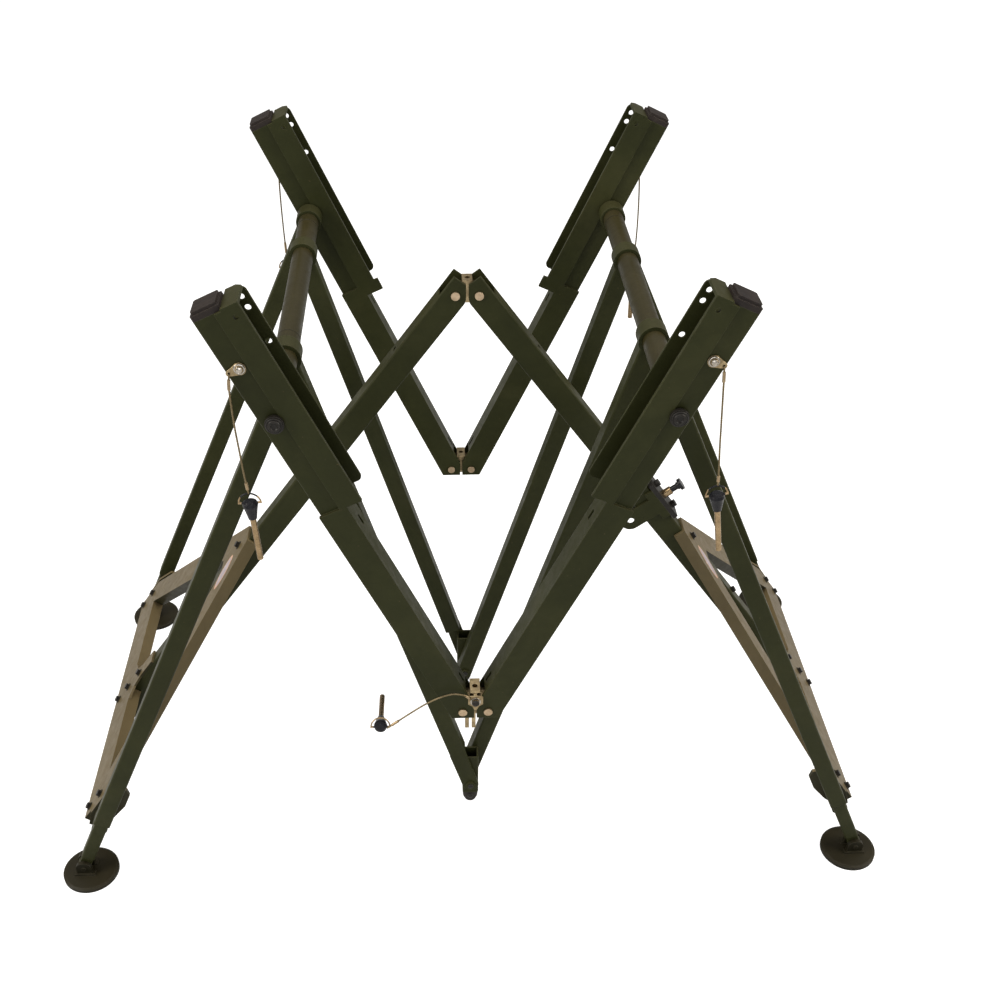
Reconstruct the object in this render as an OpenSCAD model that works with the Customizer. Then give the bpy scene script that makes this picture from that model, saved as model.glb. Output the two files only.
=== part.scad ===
// Folding steel trestle stand, standing half folded.
// X to the right, Y to the rear, Z up, the floor at Z = 0. Millimetres.
// The left half is drawn and mirrored; front and rear pieces are copies along Y.

/* [Main layout] */
// Half distance between the two rivets of a rail hinge
hinge_x = 18.75; // [18.5:0.25:20]
// Height of the cross axles
axle_z = 897; // [893:0.5:901]
// Outside diameter of a cross axle
axle_d = 32; // [31:0.5:33]
// Lean of the top rails from vertical, degrees
rail_lean = 24.5; // [24:0.1:25]
// Centre of the front rail tubes
rail_y_front = -350; // [-351:0.5:-349]
// Centre of the rear rail tubes
rail_y_rear = 300; // [299:0.5:301]
// Height of the centre foot pivots
centre_z = 57; // [56:0.5:58]
// Half distance between the outer feet pivots
foot_x = 657; // [655:0.5:659]
// Height of the outer feet pivots
foot_z = 22; // [21.5:0.5:23]

/* [Top rails] */
// Side of the rail's square tube
rail_w = 38; // [37.5:0.5:38.5]
// Wall of the square tubes
rail_t = 3; // [2.5:0.5:3.5]
// Length of rail above the axle
rail_up = 152; // [150:1:154]
// Length of rail from the axle to its centre hinge
rail_down = 548; // [548:0.1:548.5]
// Height of the channel walls over the rail's centre line
wall_v = 42; // [41:0.5:44]
// Inner width of the channel beyond the tube's far face
channel_y = 8; // [7:0.5:9]
// Distance from the axle to the step in the near face
step_u = 147; // [145:1:149]
// Diameter of the locking holes in the far wall
lock_hole_d = 8; // [7:0.5:9]

/* [Legs] */
// Side of the inner legs' square tube
inner_w = 28; // [27.5:0.5:28]
// Side of the outer legs' square tube
outer_w = 27; // [26.5:0.5:27.5]
// Side of the outer legs' end fitting
insert_w = 22; // [21.5:0.5:22.5]
// Length of the end fitting above its pivot
insert_l = 114; // [110:1:118]
// Width of a centre foot
centre_w = 27; // [26.5:0.5:27]
// Top of a centre foot
centre_top = 119; // [117:1:120]
// Diameter of a disc foot
disc_d = 92; // [90:1:94]
// Thickness of a disc foot
disc_t = 8; // [7:0.5:9]

/* [Spreader frames] */
// Strut's depth across its slope
strut_n = 38; // [37:0.5:38]
// Strut's width along Y
strut_y = 30; // [29:0.5:31]
// Strut's centre along Y
strut_cy = -8; // [-9:0.5:-7]
// Width of the spreader bar
bar_w = 68; // [66:1:70]
// Length of the spreader bar
bar_l = 570; // [568:1:572]
// Depth of the spreader bar and the brace plate
bar_t = 20; // [18:0.5:22]
// Distance along the strut from its top hinge to the bar's upper edge
bar_s = 968; // [966:1:970]
// Distance along the strut to the brace bolt
brace_s = 582; // [580:1:584]

/* [Fits] */
// Radial clearance of a running fit
run_gap = 0.05; // [0.02:0.01:0.08]
// Side clearance between moving faces
side_gap = 0.3; // [0.3:0.1:0.5]
// Radial clearance of the opened hinge pivots
open_gap = 2.2; // [2:0.1:2.3]

/* [Hidden] */
$fn = 64;

// Colours
olive = [0.23, 0.24, 0.15];
black = [0.08, 0.08, 0.08];
brass = [0.75, 0.64, 0.47];
steel = [0.6, 0.58, 0.54];
tan_paint = [0.46, 0.41, 0.3];

// Rail values: the near wall stands this far in front of the tube
wall_t = 5;
near_y = -rail_w / 2 - wall_t;
far_y = rail_w / 2 + channel_y;
far_t = 3;
stub_r = 7;
rivet_r = 4;
rivet_head_r = 6.5;
post_w = 15;
neck_w = 5;
axle_x = hinge_x + rail_down * sin(rail_lean);
hinge_z = axle_z - rail_down * cos(rail_lean);
// Inner legs: their length and lean
inner_lean = atan(axle_x / (axle_z - centre_z));
inner_l = sqrt(axle_x * axle_x + (axle_z - centre_z) * (axle_z - centre_z));
foot_rise = centre_top - centre_z;
centre_pin_r = 5;
// Outer legs: their length, lean and splay
outer_lean = atan((foot_x - axle_x) / (axle_z - foot_z));
outer_l = sqrt((foot_x - axle_x) * (foot_x - axle_x) + (axle_z - foot_z) * (axle_z - foot_z));
outer_y_front = rail_y_front + 48;
outer_y_rear = rail_y_rear - 44;
inner_y_fl = rail_y_front + 150;
inner_y_fr = inner_y_fl + inner_w + 6.5;
inner_y_rl = rail_y_rear - 176;
inner_y_rr = inner_y_rl - inner_w - 6.5;
centre_y_front = inner_y_fl + 6.1;
centre_y_rear = inner_y_rl - 6.1;
end_bolt_y = bar_l / 2 - 18;
collar_r = 20;
foot_pin_r = 4;
disc_cx = foot_x - 7;
foot_y = bar_l / 2 + 50;
tongue_t = 12;
// Spreader frame: slope of the strut, down and outward
strut_lean = atan(0.6 / 0.8);
top_x = 17.3;
top_z = 893;
bar_pivot_x = 621;
bar_pivot_z = 96;
bar_pin_r = 6;
strut_l = bar_s + bar_w;
bar_face = strut_n / 2 + 4;
latch_s = 477;
latch_hole_r = 6;
// Lanyards: wire radius, pin length and ring size
wire_r = 1.4;
tab_x = axle_x + 15 * cos(rail_lean) + 80 * sin(rail_lean);
tab_z = axle_z - 15 * sin(rail_lean) + 80 * cos(rail_lean);
tab_front_y = rail_y_front - rail_w / 2;
tab_rear_y = rail_y_rear + rail_w / 2;
function hang(side, y, pts) = [for (p = pts) [side * tab_x + p[0], y + p[1], tab_z + p[2]]];
front_hang_y = tab_front_y - 2 - wire_r;
rear_hang_y = tab_rear_y + 2 + wire_r;
cable_pts_fl = hang(-1, front_hang_y, [[0, 0, 0], [-1.7, -2.6, -17.6], [-1.7, -3.6, -43.6],
    [-1.2, -3.6, -73.6], [0.2, -3.6, -102.6], [1.5, -3.6, -132.6], [3.2, -3.6, -153.6], [4.2, -3.6, -166.6]]);
cable_pts_fr = hang(1, front_hang_y, [[0, 0, 0], [1.2, -2.6, -17.6], [3.2, -3.6, -43.6],
    [6.2, -3.6, -78.6], [9.2, -3.6, -113.6], [11.7, -3.6, -137.6], [13.4, -3.6, -155.6], [14.2, -3.6, -167.6]]);
cable_pts_rl = hang(-1, rear_hang_y, [[0, 0, 0], [-2.7, 1.6, -17.6], [-3.8, 2.6, -43.6],
    [-4.2, 2.6, -73.6], [-4.2, 2.6, -108.6], [-3.7, 2.6, -138.6], [-3.2, 2.6, -163.6]]);
cable_pts_rr = hang(1, rear_hang_y, [[0, 0, 0], [3.2, 1.6, -17.6], [5.8, 2.6, -43.6],
    [7.8, 2.6, -78.6], [9, 2.6, -118.6], [8.8, 2.6, -153.6], [8.2, 2.6, -177.6]]);
pin_at_fl = hang(-1, front_hang_y, [[4.3, -3.6, -177.6]])[0];
pin_at_fr = hang(1, front_hang_y, [[14.5, -3.6, -179.6]])[0];
pin_at_rl = hang(-1, rear_hang_y, [[-3.2, 2.6, -174.6]])[0];
pin_at_rr = hang(1, rear_hang_y, [[8.2, 2.6, -188.6]])[0];
// The hinge's own lanyard starts at the top corner of its plate
plate_y = rail_y_front + near_y - side_gap;
plate_z = hinge_z + 22;
cable_pts_hinge = [for (p = [[-7, 0, 6], [-14, -0.6, 14], [-24, -1.6, 19], [-37, -2.8, 20.5], [-57, -4.3, 14],
    [-77, -5.8, 2.5], [-97, -7.3, -12], [-117, -8.8, -27.5], [-131, -9.8, -38.5]])
    [p[0], plate_y - 2 - wire_r + p[1], plate_z + p[2]]];
pin_at_hinge = [-141, plate_y - 2 - wire_r - 10.8, plate_z - 36.5];
pin_l = 66;
ring_r = 14;

function unit(a) = a / norm(a);

// A square with rounded corners, centred
module rsq(a, b, r) {
    square([a - 2 * r, b], center = true);
    square([a, b - 2 * r], center = true);
    for (x = [-1, 1], y = [-1, 1])
        translate([x * (a / 2 - r), y * (b / 2 - r)]) circle(r = r);
}

// A square tube standing on Z
module tube(a, b, t, l, r = 3) {
    difference() {
        linear_extrude(l) rsq(a, b, r);
        translate([0, 0, -1]) linear_extrude(l + 2) rsq(a - 2 * t, b - 2 * t, 1);
    }
}

// A cylinder along Y from y0 to y1
module ycyl(r, y0, y1, x = 0, z = 0) {
    translate([x, y1, z]) rotate([90, 0, 0]) cylinder(r = r, h = y1 - y0);
}

// Right-hand pieces are mirrored left-hand ones
module side(right) {
    if (right) mirror([1, 0, 0]) children();
    else children();
}

// Places a piece in a rail's frame: X across the rail, Z up along it
module at_rail(yc) {
    translate([-axle_x, yc, axle_z]) rotate([0, -rail_lean, 0]) children();
}

// Places a piece in a strut's frame: X outward from its face, Z up along it, at the top hinge
module at_strut() {
    translate([-top_x, 0, top_z]) rotate([0, strut_lean, 0]) mirror([1, 0, 0]) children();
}

// One rail: tube, cover, near wall, floor, far wall, end plate
module rail(yc, right, tail) {
    gap = right ? open_gap : run_gap;
    color(olive) side(right) difference() {
        at_rail(yc) difference() {
            union() {
                translate([0, 0, -rail_down - 24]) tube(rail_w, rail_w, rail_t, rail_down + 24 + rail_up);
                translate([-10, -rail_w / 2 + rail_t - 0.5, -12]) cube([20, rail_w - 2 * rail_t + 1, 24]);
                translate([-rail_w / 2 - 1, near_y, -rail_down - 24]) cube([rail_w + 2, wall_t, rail_down + 24 - step_u]);
                translate([10, near_y, -step_u - tail]) cube([wall_v - 10, wall_t, rail_up + step_u + tail]);
                translate([rail_w / 2, -rail_w / 2, -step_u]) cube([3, far_y + rail_w / 2, rail_up + step_u]);
                far_wall();
                translate([rail_w / 2, 0, rail_up - 1]) end_plate();
                if (tail > 0) translate([wall_v - 2, near_y, -step_u - tail]) cube([9, wall_t, 20]);
            }
            for (u = [140, 125, 77]) translate([32, far_y + far_t + 1, u]) rotate([90, 0, 0])
                cylinder(d = lock_hole_d, h = far_t + 2);
            translate([31, near_y + wall_t + 1, 139]) rotate([90, 0, 0]) cylinder(d = 6, h = wall_t + 2);
            ycyl(stub_r + run_gap, near_y - 1, rail_w);
            translate([rail_w / 2 - 8, -3, -step_u - 47]) cube([16, 6, 16]);
            translate([rail_w / 2 - 8, -3, -rail_down + 34]) cube([16, 6, 20]);
            ycyl(rivet_r + gap, near_y - 1, rail_w, 0, -rail_down);
            translate([-rail_w, -rail_w / 2 + rail_t, -rail_down - 30]) cube([2 * rail_w, rail_w - 2 * rail_t, 44]);
            translate([0, -rail_w / 2 + rail_t, -rail_down + 10]) cube([rail_w, rail_w - 2 * rail_t, 20]);
        }
        translate([-2, yc - 50, hinge_z - 100]) cube([100, 100, 200]);
        translate([-100, yc - 50, hinge_z - 113]) cube([200, 100, 100]);
    }
}

// Drilled far wall with rounded end corners
module far_wall() {
    translate([0, far_y + far_t, 0]) rotate([90, 0, 0]) linear_extrude(far_t) {
        translate([rail_w / 2, -step_u]) square([wall_v - rail_w / 2 - 8, rail_up + step_u]);
        translate([wall_v - 9, -step_u + 8]) square([9, rail_up + step_u - 16]);
        for (z = [-step_u + 8, rail_up - 8]) translate([wall_v - 8, z]) circle(r = 8);
    }
}

// End plate that closes the channel's top
module end_plate() {
    linear_extrude(4) polygon([[0, near_y], [wall_v - rail_w / 2, near_y],
        [wall_v - rail_w / 2, far_y - 6], [wall_v - rail_w / 2 - 9, far_y + far_t], [0, far_y + far_t]]);
}

// Plastic plug in the rail's end
module plug(yc, right) {
    color(black) side(right) at_rail(yc) {
        translate([0, 0, rail_up - 18]) linear_extrude(18)
            rsq(rail_w - 2 * rail_t, rail_w - 2 * rail_t, 1);
        translate([0, 0, rail_up]) linear_extrude(7) rsq(rail_w, rail_w, 3);
        translate([0, 0, rail_up + 7]) linear_extrude(4) rsq(rail_w - 5, rail_w - 5, 3);
    }
}

// Lanyard tab: a brass teardrop with a bolt; face is the outward side along Y
module tab(yf, dir, right) {
    color(brass) side(right) translate([-axle_x, 0, axle_z]) rotate([0, -rail_lean, 0])
        translate([-1, yf, 80]) rotate([dir > 0 ? -90 : 90, 0, 0]) tab_body(dir, 180);
}

// Teardrop plate with a bolt head; its small end points at angle a
module tab_body(dir, a) {
    rotate([0, 0, -dir * a]) {
        difference() {
            union() {
                cylinder(r = 8, h = 2);
                translate([14, 0, 0]) cylinder(r = 4, h = 2);
                linear_extrude(2) polygon([[0, -8], [14.5, -4], [14.5, 4], [0, 8]]);
            }
            translate([14, 0, -1]) cylinder(r = 1.4, h = 4);
        }
        translate([0, 0, 2]) cylinder(r = 4.5, h = 2);
    }
}

// Cross axle with its stub ends and collar rings
module axle(right) {
    y0 = rail_y_front + rail_w / 2 + side_gap;
    y1 = rail_y_rear + near_y - side_gap;
    color(olive) side(right) translate([-axle_x, 0, axle_z]) {
        difference() {
            union() {
                ycyl(axle_d / 2, y0, y1);
                ycyl(stub_r, rail_y_front - rail_w / 2 - 3, y0 + 20);
                ycyl(stub_r, y1 - 20, rail_y_rear + rail_w / 2 + 3);
                ycyl(9.4, y1 - 1, rail_y_rear - rail_w / 2 - side_gap);
            }
            ycyl(axle_d / 2 - 3, y0 + 12, y1 - 12);
        }
    }
}

// Black cap bolts on both ends of an axle
module axle_caps(right) {
    color(black) side(right) translate([-axle_x, 0, axle_z]) {
        y0 = rail_y_front - rail_w / 2 - side_gap;
        y1 = rail_y_rear + rail_w / 2 + side_gap;
        difference() {
            union() {
                ycyl(9.5, y0 - 6, y0);
                ycyl(12, y0 - 10, y0 - 5);
                ycyl(10, -disc_d / 2 - foot_y, y0 - 9);
            }
            ycyl(stub_r, y0 - 2.7, y0 + 1);
        }
        difference() {
            ycyl(12, y1, y1 + 7);
            ycyl(stub_r, y1 - 1, y1 + 2.7);
        }
    }
}

// Inner leg: cy is its centre along Y, dir the side that faces away from the middle
module inner_leg(cy, dir, outer, right) {
    color(olive) side(right) difference() {
        translate([0, cy, centre_z]) rotate([0, -inner_lean, 0]) difference() {
            union() {
                translate([0, 0, outer ? foot_rise + 18 : -12]) 
                    tube(inner_w, inner_w, 2.5, inner_l - (outer ? foot_rise + 18 : -12) - axle_d / 2 + 6);
                translate([0, 0, inner_l]) ycyl(axle_d / 2 + 5, -inner_w / 2, inner_w / 2);
                if (outer) {
                    translate([-inner_w / 2, dir > 0 ? inner_w / 2 - 6 : -inner_w / 2, 0])
                        cube([inner_w, 6, foot_rise + 19]);
                    ycyl(inner_w / 2, dir > 0 ? inner_w / 2 - 6 : -inner_w / 2,
                        dir > 0 ? inner_w / 2 : -inner_w / 2 + 6);
                    translate([-inner_w / 2 + 2, -inner_w / 2 + 2, foot_rise + 18]) cube([inner_w - 4, inner_w - 4, 4]);
                } else ycyl(9, -inner_w / 2 + 1, inner_w / 2 - 1);
            }
            ycyl(centre_pin_r + run_gap, -inner_w, inner_w);
            translate([0, 0, inner_l]) ycyl(axle_d / 2, -inner_w, inner_w);
        }
    }
}

// Centre foot tube with its pivot bolt, between an outer and an inner leg
module centre_foot(y0, dir) {
    color(olive) translate([0, y0, 0]) {
        difference() {
            translate([0, 0, 30]) tube(inner_w, centre_w, 3, centre_top - 30);
            translate([0, 0, centre_z]) ycyl(centre_pin_r - 1, -inner_w, inner_w);
        }
        translate([0, 0, 28]) linear_extrude(4) rsq(inner_w - 2, centre_w - 2, 2);
        translate([0, 0, centre_z]) {
            ycyl(centre_pin_r, dir > 0 ? -centre_w / 2 - inner_w - 1.5 : -centre_w / 2 - 7.5,
                dir > 0 ? centre_w / 2 + 7.5 : centre_w / 2 + inner_w + 1.5);
            ycyl(8, dir > 0 ? centre_w / 2 + 6.8 : -centre_w / 2 - 10.5,
                dir > 0 ? centre_w / 2 + 10.5 : -centre_w / 2 - 6.8);
            ycyl(8, dir > 0 ? -centre_w / 2 - inner_w - 4.9 : centre_w / 2 + inner_w + 1.2,
                dir > 0 ? -centre_w / 2 - inner_w - 1.2 : centre_w / 2 + inner_w + 4.9);
        }
    }
}

// Rubber tip of a centre foot
module centre_tip(y0) {
    color(black) translate([0, y0, 0]) rotate_extrude()
        polygon([[0, 0], [6, 0], [10, 3], [13, 10], [13.5, 18], [13, 28], [0, 28]]);
}

// Outer leg: collar round the axle, square tube, end fitting with a tongue, spreader pivot pin
module outer_leg(cy, dir, right) {
    splay = atan((foot_y - abs(cy)) / outer_l);
    color(olive) side(right) {
        difference() {
            union() {
                translate([-axle_x, cy, axle_z]) rotate([0, outer_lean, 0]) rotate([dir * splay, 0, 0])
                    mirror([0, 0, 1]) {
                    difference() {
                        translate([0, 0, collar_r - 4]) linear_extrude(outer_l - insert_l - collar_r + 4)
                            rsq(outer_w, outer_w, 3);
                        translate([0, 0, collar_r + 8]) linear_extrude(outer_l - insert_l - collar_r - 28)
                            rsq(outer_w - 5, outer_w - 5, 1);
                        // drain hole in the tube's under side
                        translate([0, 0, outer_l - insert_l - 32]) rotate([0, 90, 0]) cylinder(r = 3, h = outer_w);
                    }
                    translate([0, 0, outer_l - insert_l - 6]) linear_extrude(insert_l - 18)
                        rsq(insert_w, insert_w, 3);
                }
                translate([-axle_x, cy, axle_z]) ycyl(collar_r, -outer_w / 2 - 1, outer_w / 2 + 1);
                translate([-foot_x, dir * foot_y, foot_z]) {
                    ycyl(11, -tongue_t / 2, tongue_t / 2);
                    rotate([0, outer_lean, 0]) translate([-9, -tongue_t / 2, 0]) cube([18, tongue_t, 30]);
                }
                translate([-bar_pivot_x, dir * bar_l / 2, bar_pivot_z]) rotate([dir > 0 ? 0 : 180, 0, 0]) {
                    ycyl(bar_pin_r, -14.5, foot_y - 10 - bar_l / 2 - 1);
                    ycyl(9, -14, -6 - side_gap);
                    ycyl(13, 6 + side_gap, foot_y - 10 - bar_l / 2);
                }
            }
            translate([-axle_x, cy, axle_z]) ycyl(axle_d / 2 + run_gap, -outer_w, outer_w);
            translate([-foot_x, dir * foot_y, foot_z]) ycyl(foot_pin_r + run_gap, -20, 20);
        }
    }
}

// Disc foot: disc, clevis cheeks and the pin pressed into them
module disc_foot(dir, right) {
    color(olive) side(right) translate([0, dir * foot_y, 0]) {
        difference() {
            translate([-disc_cx, 0, 0]) {
                cylinder(d = disc_d, h = disc_t - 2);
                translate([0, 0, disc_t - 2]) cylinder(d1 = disc_d, d2 = disc_d - 8, h = 2);
            }
            translate([-disc_cx, 0, -1]) cylinder(d = disc_d - 24, h = 3);
        }
        for (s = [-1, 1]) translate([-foot_x, 0, foot_z]) {
            ycyl(13, s > 0 ? tongue_t / 2 + side_gap : -tongue_t / 2 - side_gap - 7,
                s > 0 ? tongue_t / 2 + side_gap + 7 : -tongue_t / 2 - side_gap);
            translate([-13, s > 0 ? tongue_t / 2 + side_gap : -tongue_t / 2 - side_gap - 7, -foot_z + 4])
                cube([26, 7, foot_z - 4]);
            translate([-17, s > 0 ? tongue_t / 2 + side_gap : -tongue_t / 2 - side_gap - 10, -foot_z + 4])
                cube([34, 10, 7]);
        }
        translate([-foot_x, 0, foot_z]) ycyl(foot_pin_r, -tongue_t / 2 - 9, tongue_t / 2 + 9);
    }
}

// Lower plate of the frame seen from above: bar, and a tongue over the strut
module bar_outline() {
    translate([strut_cy, 0]) polygon([[-strut_y / 2, -bar_s + 78], [strut_y / 2, -bar_s + 78],
        [strut_y / 2, -bar_s + 34], [strut_y / 2 + 8, -bar_s + 14], [strut_y / 2 + 30, -bar_s + 1],
        [strut_y / 2 + 30, -bar_s - 1], [-strut_y / 2 - 30, -bar_s - 1], [-strut_y / 2 - 30, -bar_s + 1],
        [-strut_y / 2 - 8, -bar_s + 14], [-strut_y / 2, -bar_s + 34]]);
    translate([-bar_l / 2, -bar_s - bar_w]) square([bar_l, bar_w]);
}

// Lays a shape drawn in (Y, distance up the slope) on the frame at height n, t thick
module on_frame(n, t) {
    translate([n, 0, 0]) rotate([90, 0, 90]) linear_extrude(t) children();
}

// Spreader bar: a channel with its face outward, over the strut's end
module spreader_bar(right) {
    color(tan_paint) side(right) difference() {
        at_strut() difference() {
            union() {
                on_frame(strut_n / 2, 4) bar_outline();
                on_frame(bar_face - bar_t, bar_t - 1) translate([-bar_l / 2, -bar_s - 4]) square([bar_l, 4]);
                on_frame(bar_face - bar_t, bar_t - 1) translate([-bar_l / 2, -bar_s - bar_w]) square([bar_l, 4]);
                for (y = [-bar_l / 2, bar_l / 2 - 6]) on_frame(bar_face - bar_t, bar_t - 1)
                    translate([y, -bar_s - bar_w]) square([6, bar_w]);
            }
            translate([-strut_n, strut_cy - strut_y / 2, -bar_s - bar_w - 1]) cube([1.5 * strut_n, strut_y, bar_w + 2]);
            bolt_set(3, 30, 0, false);
        }
        translate([-bar_pivot_x, 0, bar_pivot_z]) ycyl(bar_pin_r + run_gap, -bar_l, bar_l);
    }
    color(tan_paint) side(right) difference() {
        translate([0, -bar_l / 2, 0]) lug();
        translate([-bar_pivot_x, 0, bar_pivot_z]) ycyl(bar_pin_r + run_gap, -bar_l, bar_l);
    }
    color(tan_paint) side(right) difference() {
        translate([0, bar_l / 2 + 6, 0]) lug();
        translate([-bar_pivot_x, 0, bar_pivot_z]) ycyl(bar_pin_r + run_gap, -bar_l, bar_l);
    }
}

// Chamfered pivot lug on the bar's end
module lug() {
    rotate([90, 0, 0]) linear_extrude(6) polygon([[-650, 70], [-634, 62], [-606, 84], [-582, 112],
        [-570, 138], [-573, 152], [-588, 156], [-614, 138], [-642, 98]]);
}

// Bolts of one frame: radius, height from n, drawn as heads or as drilled holes
module bolt_set(r, h, n, heads) {
    for (p = [[strut_cy, brace_s], [strut_cy, bar_s - 27],
              [strut_cy, bar_s + 17], [strut_cy, bar_s + 56],
              [-end_bolt_y, bar_s + 17], [-end_bolt_y, bar_s + 56], [end_bolt_y, bar_s + 17], [end_bolt_y, bar_s + 56]])
        translate([n, p[0], -p[1]]) rotate([0, 90, 0]) {
            cylinder(r = r, h = h);
            if (heads) translate([0, 0, h]) cylinder(r = 5.5, h = 6, $fn = 6);
        }
}

// Strut: square tube with a notched top for the hinge block
module strut(right) {
    gap = right ? open_gap : run_gap;
    color(olive) side(right) difference() {
        at_strut() difference() {
            translate([0, strut_cy, -strut_l]) tube(strut_n, strut_y, 3, strut_l + 22);
            translate([-strut_n, strut_cy - strut_y / 2 + 3, -15]) cube([2 * strut_n, strut_y - 6, 60]);
            translate([0, strut_cy, 0]) ycyl(rivet_r + gap, -strut_y, strut_y);
            translate([strut_n / 2 - 8, strut_cy, -127]) rotate([0, 90, 0]) cylinder(r = 4, h = 16);
            bolt_set(3, 60, 0, false);
        }
        translate([-2, -50, top_z - 7]) cube([100, 100, 200]);
        translate([-2, 50, top_z - 7]) rotate([90, 0, 0]) linear_extrude(100)
            polygon([[0, 1], [50, 1], [50, -60], [-16, -60]]);
    }
}

// V-shaped brace plate between the strut and the bar, with its edges folded down
module brace_plate(right) {
    top_s = brace_s - 32;
    w = 60;
    color(tan_paint) side(right) at_strut() difference() {
        union() {
            on_frame(strut_n / 2, 4) polygon([[strut_cy - 20, -top_s], [strut_cy + 20, -top_s],
                [bar_l / 2, -bar_s], [bar_l / 2 - w, -bar_s], [strut_cy + strut_y / 2, -top_s - 86],
                [strut_cy - strut_y / 2, -top_s - 86], [w - bar_l / 2, -bar_s], [-bar_l / 2, -bar_s]]);
            for (m = [-1, 1]) on_frame(bar_face - bar_t, bar_t - 1) {
                polygon([[strut_cy + m * 20, -top_s], [m * bar_l / 2, -bar_s],
                    [m * (bar_l / 2 - 5), -bar_s], [strut_cy + m * 15, -top_s]]);
                polygon([[m * (bar_l / 2 - w), -bar_s], [m * (bar_l / 2 - w + 5), -bar_s],
                    [strut_cy + m * 20, -top_s - 86], [strut_cy + m * 15, -top_s - 86]]);
            }
        }
        translate([-strut_n, strut_cy - strut_y / 2, -bar_s]) cube([1.5 * strut_n, strut_y, bar_s]);
        bolt_set(3, 60, 0, false);
    }
}

// All the black bolts on one frame
module frame_bolts(right) {
    color(black) side(right) at_strut() {
        bolt_set(3, bar_face, 0, true);
        translate([strut_n / 2, strut_cy, -brace_s - 148]) rotate([0, 90, 0]) cylinder(r = 5.5, h = 6, $fn = 6);
        translate([8, -272, -bar_s - bar_w - 4.5]) cylinder(r = 5, h = 4.5);
    }
    if (right) color(black) side(true) at_strut() for (s = [-26, 26])
        translate([strut_n / 2 + 10, strut_cy, -latch_s - s]) rotate([0, 90, 0]) cylinder(r = 6.5, h = 7, $fn = 6);
}

// Brass hinge block between two rail or strut ends, with a boss between them
module hinge_block(yc, w, z, x, rise, front) {
    color(brass) translate([0, yc, z]) difference() {
        union() {
            rotate([90, 0, 0]) translate([0, 0, -w / 2]) linear_extrude(w) {
                square([2 * x, 24], center = true);
                for (s = [-1, 1]) translate([s * x, 0]) circle(r = 12);
                translate([-post_w / 2, 0]) square([post_w, rise]);
            }
            if (front > 0) translate([-neck_w / 2, -w / 2 - front, 17]) cube([neck_w, front + 2, 12]);
            if (front > 0) for (x = [-15, -5]) translate([x, -10, -48]) cube([6, 2.5, 40]);
        }
        for (s = [-1, 1]) ycyl(rivet_r, -w, w, s * x);
        translate([0, 0, rise - 14]) cylinder(r = 4, h = 20);
    }
}

// Square plate on the front hinge's neck: a bolt on it and a point below
module hinge_plate() {
    color(brass) translate([0, plate_y, plate_z]) rotate([90, 0, 0]) {
        difference() {
            linear_extrude(2) polygon([[-11, 9], [-9, 11], [9, 11], [11, 9], [11, -5], [5, -9],
                [1.5, -17], [-1.5, -17], [-5, -9], [-11, -5]]);
            translate([-7, 6, -1]) cylinder(r = wire_r, h = 4);
        }
        translate([0, 0, 2]) cylinder(r = 5, h = 3);
    }
}

// Brass rivets through a hinge block
module hinge_rivets(yc, y0, y1, z, x) {
    color(brass) for (s = [-1, 1]) {
        ycyl(rivet_r, yc + y0, yc + y1, s * x, z);
        ycyl(rivet_head_r, yc + y0 - 2.5, yc + y0, s * x, z);
        ycyl(rivet_head_r, yc + y1, yc + y1 + 2.5, s * x, z);
    }
}

// Latch bracket: two cheeks under a bridge, straddling the right strut
module latch_bracket() {
    color(olive) side(true) at_strut() {
        for (m = [-1, 1]) translate([0, strut_cy + m * (strut_y / 2 + 2) + 2, 0])
            rotate([90, 0, 0]) linear_extrude(4) difference() {
                union() {
                    translate([-38, -latch_s - 17]) square([38 + strut_n / 2 + 2, 34]);
                    translate([-38, -latch_s]) circle(r = 17);
                    translate([strut_n / 2 - 12, -latch_s - 30]) square([14, 60]);
                }
                translate([-38, -latch_s]) circle(r = latch_hole_r);
            }
        difference() {
            translate([strut_n / 2, strut_cy - strut_y / 2 - 1, -latch_s - 30]) cube([2, strut_y + 2, 60]);
            translate([0, strut_cy, -latch_s]) rotate([0, 90, 0]) cylinder(r = 4 + run_gap, h = 60);
        }
    }
}

// Clamp plate on top of the latch
module latch_plate() {
    color(black) side(true) at_strut() difference() {
        translate([strut_n / 2 + 2, strut_cy - 19, -latch_s - 40]) cube([8, 38, 80]);
        translate([0, strut_cy, -latch_s]) rotate([0, 90, 0]) cylinder(r = 4 + run_gap, h = 60);
    }
}

// Spring plunger: sleeve, stem and knob
module latch_plunger() {
    color(steel) side(true) at_strut() translate([0, strut_cy, -latch_s]) rotate([0, 90, 0]) {
        translate([0, 0, strut_n / 2 + 0.3]) cylinder(r = 4, h = 40);
        translate([0, 0, strut_n / 2 + 10.3]) cylinder(r = 7, h = 14);
        translate([0, 0, strut_n / 2 + 24]) cylinder(r = 5, h = 12);
        translate([0, 0, strut_n / 2 + 36]) cylinder(r = 6.5, h = 4);
        translate([0, 0, strut_n / 2 + 40]) cylinder(r = 10, h = 5);
    }
}

// Locking pin pointing down from its knob's end p, turned by rot, its half ring folded over
module lock_pin(p, rot, fold) {
    color(black) translate(p) rotate(rot) mirror([0, 0, 1]) {
        rotate_extrude() polygon([[0, 0], [6, 0], [9, 2], [10, 6], [8.5, 12], [6.5, 22], [5.5, 27], [0, 27]]);
        translate([0, 0, 26]) cylinder(r = 4, h = pin_l);
        translate([0, 0, 3]) rotate([fold, 0, 0]) difference() {
            rotate([90, 0, 0]) rotate_extrude() translate([ring_r, 0]) circle(r = 1.1, $fn = 16);
            translate([-20, -20, 0]) cube([40, 40, 30]);
        }
        translate([-ring_r - 1.1, 0, 3]) rotate([0, 90, 0]) cylinder(r = 1.5, h = 2 * ring_r + 2.2, $fn = 16);
    }
}

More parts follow.
